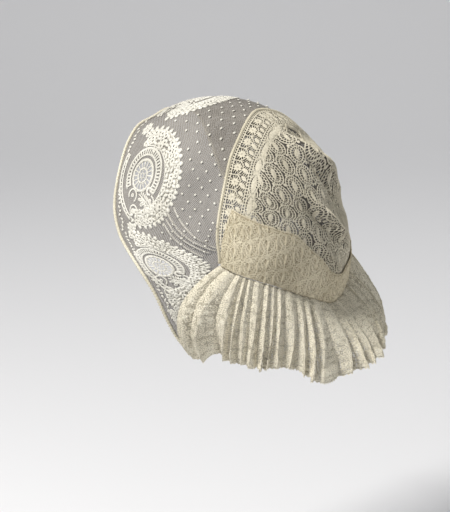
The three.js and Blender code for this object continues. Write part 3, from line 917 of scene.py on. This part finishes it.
def ring_cell(bm, leaf_width=4.0, bars=20, thread=0.58):
    leaf(bm, 0, 0.2, 9.6, leaf_width, 78, 0, 0.05, 12)
    ribbon(bm, [(-0.8, -4.2), (0, 0), (1.0, 4.8)], 0.6, 0.25)
    ribbon(bm, arc(0, 0, 4.5, 6.5, 0, 360, 22), 0.72)
    ribbon(bm, arc(0, 0, 7.0, 8.9, 0, 360, 24), 0.78)
    spokes(bm, 0, 0, (4.5, 6.5), (7.0, 8.9), bars, thread, 0.5, -0.05)
    spokes(bm, 0, 0, (1.7, 4.2), (4.5, 6.5), 14, thread - 0.08, 0.5, -0.05)
    for x in (-4.7, 4.7):
        leaf(bm, x, 9.0, 2.8, 2.2, 90, -0.05, 0.05, 8)


def stamped(draw, places, bm):
    """Draws a shape once and repeats it at flat places, each with a turn and a sideways sign."""
    once = bmesh.new()
    draw(once)
    for x, y, turn, flip in places:
        spot = Matrix.Translation((x, y, 0)) @ Matrix.Rotation(math.radians(turn), 4, "Z")
        add_part(bm, once.copy(), flip < 0, spot)
    once.free()


border_depth = 24.4
crown_lace = bmesh.new()
cells = []
for i in range(-8, 8):
    for j in range(11):
        x = cell_width * (i + 0.5)
        odd = (abs(int(x // cell_width)) + (i < 0)) % 2
        way = 1 if i >= 0 else -1
        cells.append((x, 27 + cell_height * (j + 0.5 * odd) - 9, 6 * way, way))
stamped(ring_cell, cells, crown_lace)
to_metres(crown_lace)
centres = np.array([face.calc_center_median() for face in crown_lace.faces])
across, down = crown_shares(centres)
near_seam = from_seam(on_crown(centres)) < (border_depth - 1.8) * mm
outside = near_seam | (np.abs(across) > 1)
outside |= (centres[:, 1] < 12 * mm) | (centres[:, 1] > spine_run[-1])
doomed = [face for face, out in zip(crown_lace.faces, outside) if out]
bmesh.ops.delete(crown_lace, geom=doomed, context="FACES")

seam_run = np.concatenate(([0], np.cumsum(np.linalg.norm(np.diff(seam_curve, axis=0), axis=1))))
seam_run -= seam_run[-1] / 2
seam_ahead = unit(np.gradient(seam_curve, axis=0))
base = bmesh.new()
verts = flat_grid(base, np.linspace(-1, 1, 141), np.linspace(0.012, 1, 141))
flat_places = np.array([v.co[:] for v in verts])
for vertex, place in zip(verts, crown(flat_places[:, 0], flat_places[:, 1])):
    vertex.co = Vector(place)
crown_tree = BVHTree.FromBMesh(base)
base.free()
nearest = [crown_tree.find_nearest(Vector(spot))[0] for spot in seam_curve]
seam_inward = np.array(nearest) - seam_curve
seam_inward = unit(seam_inward - seam_ahead * dot(seam_inward, seam_ahead))
for _ in range(6):
    seam_inward[1:-1] = unit(seam_inward[:-2] + seam_inward[1:-1] + seam_inward[2:])


def on_border(flat):
    """Places on the crown's border: along the seam from its top, in from it, and raised."""
    spots = []
    for k in range(3):
        reach_in = flat[:, 1] + seam_setback
        spots.append(np.interp(flat[:, 0], seam_run, seam_curve[:, k])
                     + np.interp(flat[:, 0], seam_run, seam_inward[:, k]) * reach_in)
    laid = []
    for spot, height in zip(np.stack(spots, axis=1), flat[:, 2]):
        place, out, _, _ = crown_tree.find_nearest(Vector(spot))
        if out.dot(place - Vector(cap_centre)) < 0:
            out = -out
        laid.append(place + out * float(height))
    return np.array(laid)


def border_repeat(bm):
    """One repeat of the border: a round flower in a ring of slots, and two leaning leaves."""
    daisy(bm, 0, 6.9, 3.5, 7)
    spokes(bm, 0, 6.9, (2.9, 2.9), (5.4, 4.5), 13, 0.55, 0.5, -0.05)
    ribbon(bm, arc(0, 6.9, 5.4, 4.4, 12, 168, 12), 0.75)
    ribbon(bm, [(-5.75, 2.6), (-5.75, 10.6)], 0.8)
    for x, long, wide in ((2.5, 6.6, 3.3), (-3.25, 6.2, 2.9)):
        leaf(bm, x, 13.9, long, wide, 56, 0, 0.3)
        for t in (-2.3, -0.8, 0.8, 2.3):
            middle, level = x + 2.87 + 0.56 * t, 13.9 + 0.83 * t
            ribbon(bm, [(middle - 1.3, level + 0.85), (middle + 1.3, level - 0.85)], 0.5, -0.05)


def teardrop(bm):
    leaf(bm, 0, 23.2, 13, 4.8, 180, 0, 0.3, 14)
    ribbon(bm, arc(0, 23.2, 8.3, 4.1, 0, 360, 26), 0.8)
    spokes(bm, 0, 23.2, (5.8, 2.0), (8.3, 4.1), 22, 0.55, 0.0, -0.05)
    for y, reach in ((20.6, 3.4), (22.1, 1.6), (24.3, 1.6), (25.9, 3.4)):
        ribbon(bm, [(8.5 - reach, y), (8.5 + reach, y)], 0.6, -0.05)
    ribbon(bm, [(8.5, 19.2), (8.5, 27.2)], 0.7)


flower_pitch, teardrop_pitch = 11.5, 17
hole_rows, hole_pitch, hole_bar = ((0.3, 2.4), (17.0, 19.2)), 2.4, 0.8
seam_length = seam_run[-1] / mm
repeat_count = 2 * round(seam_length / flower_pitch)
repeat = 2 * seam_length / repeat_count
crown_cotton = lace_material("crown_cotton", (0.69, 0.64, 0.515), (0.5, 0.46, 0.355), 700, 24, 0.5)
# The crown's net ground is coloured near-black, not ecru: painted shade of the cap's inside, seen
# through the lace's holes.
crown_net_painted_shade_cotton = lace_material("crown_net_painted_shade_cotton", (0.11, 0.1, 0.085), (0.07, 0.065, 0.055),
                                 pitch=1.6 * mm, thread=0.52)
crown_field = finish_mesh("crown_leaf_ground", crown_lace, crown_cotton, smooth=False)
crown_borders = []
for name, way in (("crown_border_left", 1), ("crown_border_right", -1)):
    border = bmesh.new()
    places = [way * repeat * (k + 0.5) for k in range(repeat_count // 2)]
    stamped(border_repeat, [(x, 0, 0, way) for x in places], border)
    drops = [way * teardrop_pitch * (k + 0.5) for k in range(8)]
    stamped(teardrop, [(x, 0, 0, 1) for x in drops if abs(x) < seam_length - 8], border)
    bars = int(seam_length / hole_pitch)
    for inner, outer in hole_rows:
        for edge in (inner, outer):
            ribbon(border, [(x, edge) for x in np.linspace(0, way * seam_length, 90)], hole_bar)
        for k in range(bars):
            x = way * seam_length * (k + 0.5) / bars
            ribbon(border, [(x, inner), (x, outer)], hole_bar)
    to_metres(border)
    made = finish_mesh(name, border, crown_cotton, smooth=False)
    crown_borders.append(lay(made, on_border, crown_wall, 0))
lay(crown_field, on_crown, crown_wall, 0)
# A net ground just behind the crown's lace; its near-black colour is painted shade.
crown_net_painted_shade_sheet = bmesh.new()
verts = flat_grid(crown_net_painted_shade_sheet, np.linspace(-1, 1, 121), np.linspace(0.012, 1, 101))
halves = np.interp([v.co.y for v in verts], downs, rib_lengths)
runs = np.interp([v.co.y for v in verts], downs, spine_run)
for vertex, half, run in zip(verts, halves, runs):
    vertex.co = (vertex.co.x * half, run, -ground_behind)
crown_net_painted_shade = lay(finish_mesh("crown_net_painted_shade", crown_net_painted_shade_sheet, crown_net_painted_shade_cotton), on_crown)

for made in (crown_net_painted_shade, crown_field, *crown_borders):
    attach(made, "root")
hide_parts("crown")

# Turned-up band
# The crown's lower edge is turned up on the outside, so the lace lies doubled there: closer,
# yellower and less open, with its leaves and rings showing as swirls.
band_top_end = 0.88
band_bottom_end = 0.98
band_lift = 1.8 * mm
band_wall = 0.9 * mm
swirl_lift, swirl_wall = 0.35 * mm, 0.4 * mm
band_rows = rows(
    "share top",
    (-1, 0.88), (-0.5, 0.885), (-0.11, 0.87), (0.03, 0.81), (0.2, 0.745), (0.3, 0.7), (0.42, 0.69),
    (1, 0.66),
)
band_cotton = lace_material("band_cotton", (0.5, 0.435, 0.31), (0.36, 0.305, 0.21), 500, 30, 0.6)
swirl_cotton = lace_material("swirl_cotton", (0.7, 0.635, 0.475), (0.52, 0.46, 0.325), 600, 30, 0.5)


def band_shares(side, depth):
    across = side * (band_top_end + (band_bottom_end - band_top_end) * depth)
    top = column(band_rows, "top", across)
    return across, top + (1 - top) * depth


def band(side, depth):
    across, down = band_shares(side, depth)
    return crown(across, down) + normal_of(crown, across, down) * band_lift


band_sheet = bmesh.new()
verts = flat_grid(band_sheet, np.linspace(-1, 1, 150), np.linspace(0, 1, 34))
flat_places = np.array([v.co[:] for v in verts])
for vertex, place in zip(verts, band(flat_places[:, 0], flat_places[:, 1])):
    vertex.co = Vector(place)
turned_band = finish_mesh("turned_up_band_lace", band_sheet, band_cotton)
give_wall(turned_band, band_wall, -1)


def swirl_cell(bm):
    ring_cell(bm, 2.4, 24, 0.5)


swirls = bmesh.new()
swirl_places = []
for i in range(-8, 8):
    for j in range(11):
        x = cell_width * (i + 0.3)
        level = 24 + cell_height * (j + 0.5 * (i % 2))
        swirl_places.append((x, level, 14, 1))
        swirl_places.append((x + 0.45 * cell_width, level + 0.2 * cell_height, -20, -1))
stamped(swirl_cell, swirl_places, swirls)
to_metres(swirls)
centres = np.array([face.calc_center_median() for face in swirls.faces])
across, down = crown_shares(centres)
top = column(band_rows, "top", np.clip(across, -1, 1))
span = np.clip((down - top) / (1 - top), 0, 1)
end_at = band_top_end + (band_bottom_end - band_top_end) * span
outside = (down < top + 0.006) | (np.abs(across) > end_at - 0.004)
outside |= centres[:, 1] > spine_run[-1] - mm
bmesh.ops.delete(swirls, geom=[f for f, out in zip(swirls.faces, outside) if out], context="FACES")
band_swirls = finish_mesh("turned_up_band_swirls", swirls, swirl_cotton, smooth=False)
lay(band_swirls, on_crown, swirl_wall, 0, band_lift + swirl_lift)


def band_edge(share):
    return band(2 * share - 1, 0.0)


def band_upward(share):
    return unit(band(2 * share - 1, 0.0) - band(2 * share - 1, 0.06))


band_fringe = picot_comb("turned_up_band_edge", band_edge, band_upward, 110, 1.5 * mm, swirl_cotton,
                         0.4 * mm)
for made in (turned_band, band_swirls, band_fringe):
    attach(made, "root")
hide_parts("turned_up_band")

# Gathering cord and neck frill
# The frill is a long width of the strip's own fine lace, set in deep pleats on a drawn cord under
# the crown's lower edge. The pleats are rolled at the wearer's left and fan out flat at the right,
# and the lace's picot edge is the hem.
frill_reach = 139 * mm
frill_half_width = 82 * mm
frill_drop = 202 * mm
frill_belly = 6 * mm
pleat_height = 5.5 * mm
gather_cord_radius = 0.9 * mm
hem_rows = rows(
    "share across along down belly sweep rise",
    (0, 0.79, 0.135, 0.955, 1.9, -3.0, 0.3),
    (0.05, 0.775, 0.235, 0.966, 1.9, -2.2, 0.8),
    (0.1, 0.72, 0.318, 0.93, 1.8, -1.0, 1.0),
    (0.13, 0.72, 0.38, 0.95, 1.5, -0.5, 0.9),
    (0.19, 0.74, 0.52, 0.946, 1.2, 0, 0.75),
    (0.25, 0.73, 0.62, 0.95, 1.0, 0, 0.75),
    (0.3, 0.646, 0.69, 0.944, 1.0, 0, 0.75),
    (0.36, 0.52, 0.77, 0.946, 1.0, 0, 0.75),
    (0.4, 0.475, 0.83, 0.97, 1.0, 0, 0.9),
    (0.45, 0.38, 0.89, 1.0, 1.0, 0, 1.0),
    (0.52, 0.04, 0.955, 0.985, 1.0, 0, 1.0),
    (0.57, -0.16, 0.98, 0.973, 1.0, 0, 1.0),
    (0.62, -0.28, 1.0, 0.95, 1.0, 0, 1.0),
    (0.7, -0.5, 0.935, 0.936, 1.2, 0, 1.0),
    (0.8, -0.82, 0.79, 0.91, 1.6, 0, 1.0),
    (0.88, -0.975, 0.63, 0.916, 1.6, 0, 1.0),
    (0.93, -1.0, 0.45, 0.94, 1.4, 0.5, 1.0),
    (0.97, -0.9, 0.27, 0.955, 1.8, 1.8, 0.8),
    (1, -0.8, 0.14, 0.955, 1.9, 3.0, 0.3),
)
pleat_rows = rows(
    "share pleats", (0, 0), (0.1, 2), (0.36, 10), (0.62, 16), (0.9, 23), (1, 25)
)


def gather_line(share, drop):
    place = crown(1 - 2 * share, np.ones_like(share))
    return place - np.array((0, 0, drop))


def frill(share, depth):
    """A point of the frill: share from its left end to its right, depth from cord to hem."""
    share, depth = np.broadcast_arrays(np.asarray(share, float), np.asarray(depth, float))
    top = gather_line(share, 0.6 * mm)
    top = top + unit(points(top[..., 0], top[..., 1] - seam_reach * 0.6, 0)) * 1.3 * mm
    hem = points(
        frill_half_width * column(hem_rows, "across", share),
        frill_reach * column(hem_rows, "along", share),
        -frill_drop * column(hem_rows, "down", share),
    )
    middle = (top + hem) / 2
    out = unit(points(middle[..., 0], middle[..., 1] - seam_reach * 0.6, 0))
    onward = points(-out[..., 1], out[..., 0], 0)
    middle = middle + out * (frill_belly * column(hem_rows, "belly", share))[..., None]
    middle = middle + onward * (pleat_height * column(hem_rows, "sweep", share))[..., None]
    d = depth[..., None]
    place = top * (1 - d) * (1 - 2 * d) + middle * 4 * d * (1 - d) + hem * d * (2 * d - 1)
    pleats = np.interp(share, pleat_rows["share"], pleat_rows["pleats"])
    pleats = pleats + 0.22 * np.sin(1.7 * pleats) + 0.13 * np.sin(2.9 * pleats + 5 * depth) * depth
    whole = np.floor(pleats)
    knife = np.clip((share - 0.58) / 0.08, 0, 1)
    turn = math.pi * (pleats - whole) ** (1 + 0.8 * knife)
    rise = pleat_height * column(hem_rows, "rise", share) * (0.35 + 0.65 * depth)
    uneven = 0.78 + 0.22 * np.sin(2.3 * whole + 1)
    stand = rise * uneven * (1.9 * np.sin(turn) ** 0.7 - 0.95) - 0.6 * mm * knife
    lean = 0.5 * rise * uneven * np.sin(2 * turn)
    old_fold = -0.7 * mm * np.exp(-(((depth - 0.8) / 0.025) ** 2))
    crumple = 0.6 * mm * np.sin(61 * share + 7 * depth) * np.sin(23 * share - 9 * depth + 1) * depth
    hang = 1.5 * mm * (np.sin(turn) - 0.5) * depth**2 * np.sin(1.3 * whole)
    place = place + out * (stand + old_fold + crumple)[..., None] + onward * lean[..., None]
    return place - points(0, 0, hang)


frill_cotton = lace_material("frill_cotton", (0.52, 0.48, 0.375), (0.385, 0.35, 0.265), 900, 40,
                             0.5, pitch=1.7 * mm, thread=0.6, rosettes=(0.71, 0.66, 0.53))
frill_white = lace_material("frill_white", (0.8, 0.76, 0.63), (0.64, 0.6, 0.48))
frill_length, frill_depth = 320.0, 78.0
frill_sheet = bmesh.new()
verts = flat_grid(frill_sheet, np.linspace(0, 1, 501), np.linspace(0, 1, 36))
for vertex in verts:
    vertex.co = (vertex.co.x * frill_length * mm, vertex.co.y * frill_depth * mm, 0)


def on_frill(flat):
    share = np.clip(flat[:, 0] / (frill_length * mm), 0, 1)
    depth = np.clip(flat[:, 1] / (frill_depth * mm), 0, 1)
    return frill(share, depth) + normal_of(frill, share, depth, 2e-4) * flat[:, 2][:, None]


neck_frill = lay(finish_mesh("neck_frill_pleated", frill_sheet, frill_cotton), on_frill, 0.5 * mm)
frill_work = bmesh.new()
spread = random.Random(11)
for k in range(88):
    along = frill_length * (k + 0.5) / 88
    small_ring(frill_work, along, 75.4, 2.0, 0.8)
for k in range(44):
    along = frill_length * (k + 0.5) / 44
    daisy(frill_work, along, 69 + spread.random(), 2.9, 6)
    leaf(frill_work, along + 3.4, 70.5, 5.0, 2.2, 70, corners=8)
    for row in range(7):
        if along < 90 and spread.random() < 0.6:
            continue
        place = along + 3.6 * (row % 2) + 2 * spread.random()
        down_from = 62 - 7.2 * row + 2 * spread.random()
        if spread.random() < 0.5:
            daisy(frill_work, place, down_from, 2.2 + 0.5 * spread.random(), 5)
        else:
            turn = 360 * spread.random()
            ribbon(frill_work, arc(place, down_from, 2.1, 2.1, turn, turn + 250, 8), 0.9)
for i in range(60):
    for j in range(8):
        along, down_from = 5.4 * i + 2.7 * (j % 2), 6 + 5.6 * j
        leaf(frill_work, along, down_from, 1.7, 1.6, 0, 0, 0.3, 6)
to_metres(frill_work)
frill_pattern = finish_mesh("neck_frill_pattern", frill_work, frill_white)
lay(frill_pattern, on_frill, 0.4 * mm, 1, 0.25 * mm)


def hem_outward(share):
    return unit(frill(share, 1.0) - frill(share, 0.93))


hem_picots = picot_comb("neck_frill_picots", lambda share: frill(share, 0.99), hem_outward, 170,
                        1.8 * mm, frill_white, 0.45 * mm)
cord_shares = np.linspace(0, 1, 91)
cord_line = gather_line(cord_shares, 0.5 * mm + clearance + gather_cord_radius)
gather_cord = tube_object("drawn_gathering_cord", cord_line, gather_cord_radius, seam_cotton, 8)
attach(gather_cord, "root")
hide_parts("gathering_cord")
for made in (neck_frill, hem_picots, frill_pattern):
    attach(made, "root")
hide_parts("neck_frill")
